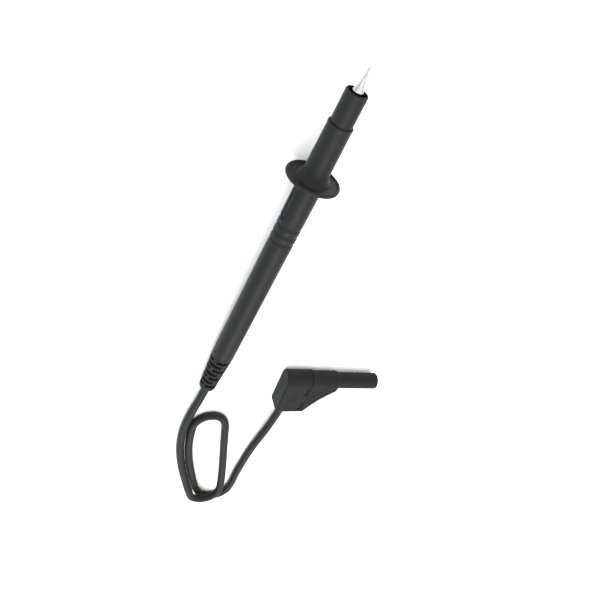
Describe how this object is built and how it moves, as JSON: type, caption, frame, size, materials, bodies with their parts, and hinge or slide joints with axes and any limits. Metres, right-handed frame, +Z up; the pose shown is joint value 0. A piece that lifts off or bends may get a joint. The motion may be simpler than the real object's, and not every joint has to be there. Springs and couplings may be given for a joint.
{
  "type": "needle probe test lead",
  "caption": "Needle-tipped safety test lead: handle with a round finger guard and a spring-loaded guard sleeve, a limp lead laid in a flat loop, and a right-angled shrouded 4 mm plug.",
  "frame": {"origin": "on the surface the lead lies on, under the middle of the probe", "axes": "+X along the probe towards the needle, +Z up; the lead leaves the probe at -X and the plug lies on its side at -Y"},
  "size_m": [0.2496, 0.0922, 0.02],
  "materials": {
    "probe_plastic": "satin moulded charcoal plastic",
    "plug_plastic": "fine-grained moulded charcoal plastic",
    "boot_rubber": "matt soft moulding",
    "lead_jacket": "smooth satin silicone",
    "carrier_plastic": "plain natural moulding",
    "needle_steel": "polished plated steel",
    "spring_steel": "drawn wire",
    "nickel": "nickel plate",
    "brass": "turned brass",
    "copper": "bare stranded copper"
  },
  "bodies": {
    "body": {"strain_relief": "boot_rubber", "handle": "probe_plastic", "front_barrel": "probe_plastic", "needle_tip": "needle_steel", "contact_rod": "brass", "return_spring": "spring_steel", "spring_seat": "nickel", "rod_carrier": "carrier_plastic", "rod_collar": "nickel", "crimp_ferrule": "nickel", "probe_core": "copper", "probe_lead_end": "lead_jacket", "lead_anchor_ring": "nickel", "lead": "lead_jacket", "plug_rear_cover": "plug_plastic", "plug_front_housing": "plug_plastic", "plug_pin": "nickel", "plug_contact_spring": "brass", "plug_terminal_screw": "needle_steel", "plug_lead_end": "lead_jacket", "plug_core": "copper", "plug_cable_clamp": "carrier_plastic"},
    "sleeve": {"guard_sleeve": "probe_plastic"}
  },
  "joints": [
    {"name": "sleeve_slide", "type": "slide", "parent": "body", "child": "sleeve", "axis": [-0.9985, 0, -0.0547], "range_m": [0, 0.01], "stiffness_N_per_m": 150, "springref_m": -0.004, "deforming": ["return_spring"]}
  ]
}
